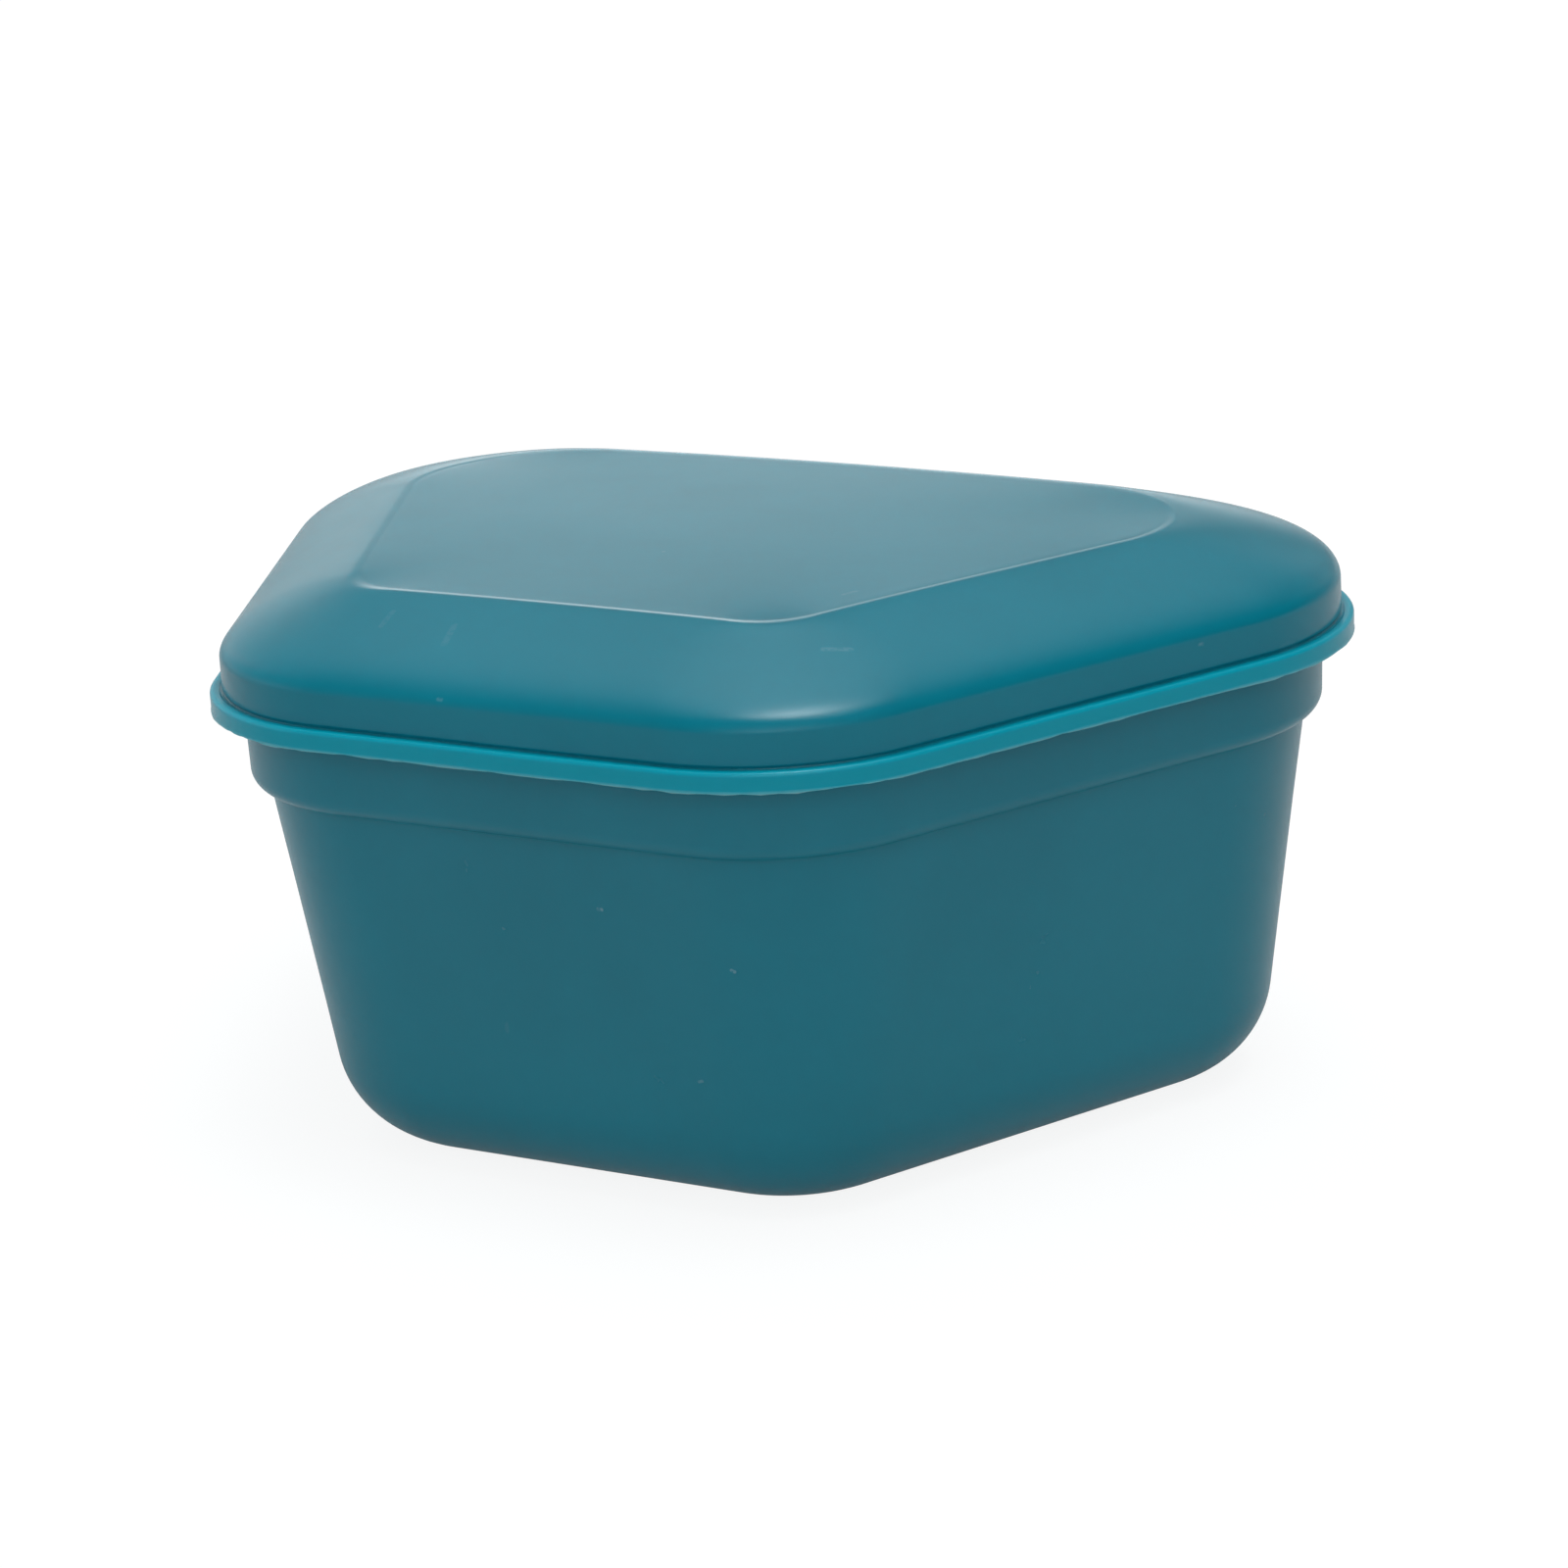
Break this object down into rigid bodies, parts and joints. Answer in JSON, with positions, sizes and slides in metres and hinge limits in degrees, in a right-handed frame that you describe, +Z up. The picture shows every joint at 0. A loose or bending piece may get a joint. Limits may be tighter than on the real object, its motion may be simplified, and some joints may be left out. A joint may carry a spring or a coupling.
{
  "type": "denture case",
  "caption": "Trapezoid denture case: drafted tub with a collar step, a lift-out drain basket inside, and a domed press-on lid with a thin lip.",
  "frame": {"origin": "on the surface the case stands on, under the middle of its outline", "axes": "+Z up; the short front side faces -Y and the long back side faces +Y; +X to the right seen from the front"},
  "size_m": [0.095, 0.07, 0.0468],
  "materials": {
    "tub_plastic": "satin moulded polypropylene, teal",
    "lid_plastic": "satin moulded polypropylene, teal",
    "basket_plastic": "satin moulded polypropylene, pale teal"
  },
  "bodies": {
    "base": {"base": "tub_plastic"},
    "strainer": {"strainer": "basket_plastic"},
    "lid": {"lid": "lid_plastic"}
  },
  "joints": [
    {"name": "basket_lift", "type": "slide", "parent": "base", "child": "strainer", "axis": [0, 0, 1], "range_m": [0, 0.045]},
    {"name": "lid_lift", "type": "slide", "parent": "strainer", "child": "lid", "axis": [0, 0, 1], "range_m": [0, 0.04]}
  ]
}
